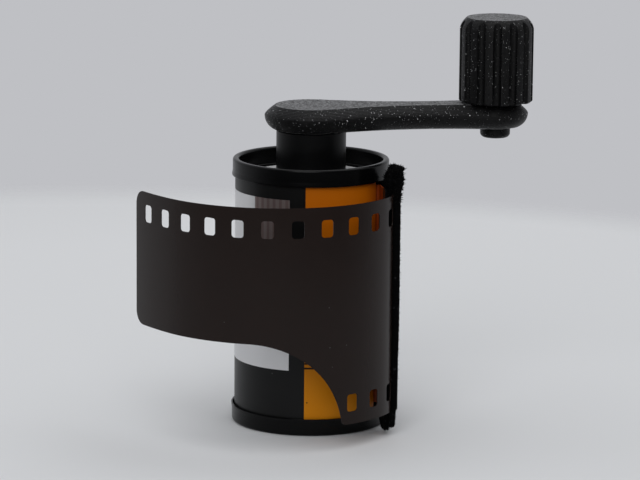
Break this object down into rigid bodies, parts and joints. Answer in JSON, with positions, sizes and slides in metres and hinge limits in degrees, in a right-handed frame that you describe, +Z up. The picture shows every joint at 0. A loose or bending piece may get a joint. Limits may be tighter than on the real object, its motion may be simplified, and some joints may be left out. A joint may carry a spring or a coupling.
{
  "type": "film rewinder",
  "caption": "Hand crank with a fluted spinning knob, keyed into the spool hub of a 35 mm film cassette, with the film leader curling out of the felt light trap.",
  "frame": {"origin": "on the spool axis, at the mouth of the lower fork socket, 0.6 mm above the bottom rim", "axes": "+Z up along the spool axis, +X along the crank arm at rest, towards the knob"},
  "size_m": [0.0644, 0.0361, 0.0653],
  "materials": {
    "shell_steel": "satin black lacquer on sheet steel",
    "cap_lacquer": "satin black lacquer",
    "felt_pile": "short black pile",
    "wrap_black": "satin black print",
    "wrap_amber": "satin amber print",
    "wrap_silver": "satin silver print",
    "film_base": "brown black film, satin emulsion",
    "spool_plastic": "smooth black moulding",
    "tape": "clear adhesive tape",
    "printed_plastic": "printed black plastic with fine glitter"
  },
  "bodies": {
    "cassette": {"cassette_shell": "shell_steel", "top_cap": "cap_lacquer", "bottom_cap": "cap_lacquer", "outer_felt": "felt_pile", "inner_felt": "felt_pile", "label_wrap": "wrap_black", "amber_panel": "wrap_amber", "silver_panel": "wrap_silver", "film_leader": "film_base"},
    "spool": {"film_spool": "spool_plastic", "film_roll": "film_base", "film_tape": "tape"},
    "crank": {"crank_arm": "printed_plastic", "drive_key": "printed_plastic"},
    "knob": {"grip_knob": "printed_plastic", "knob_pin": "printed_plastic"}
  },
  "joints": [
    {"name": "spool_turn", "type": "hinge", "parent": "cassette", "child": "spool", "pos_m": [0, 0, 0.02], "axis": [0, 0, 1], "continuous": true},
    {"name": "crank_lift", "type": "slide", "parent": "spool", "child": "crank", "axis": [0, 0, 1], "range_m": [0, 0.0066]},
    {"name": "knob_spin", "type": "hinge", "parent": "crank", "child": "knob", "pos_m": [0.03, 0, 0.0579], "axis": [0, 0, 1], "continuous": true}
  ]
}
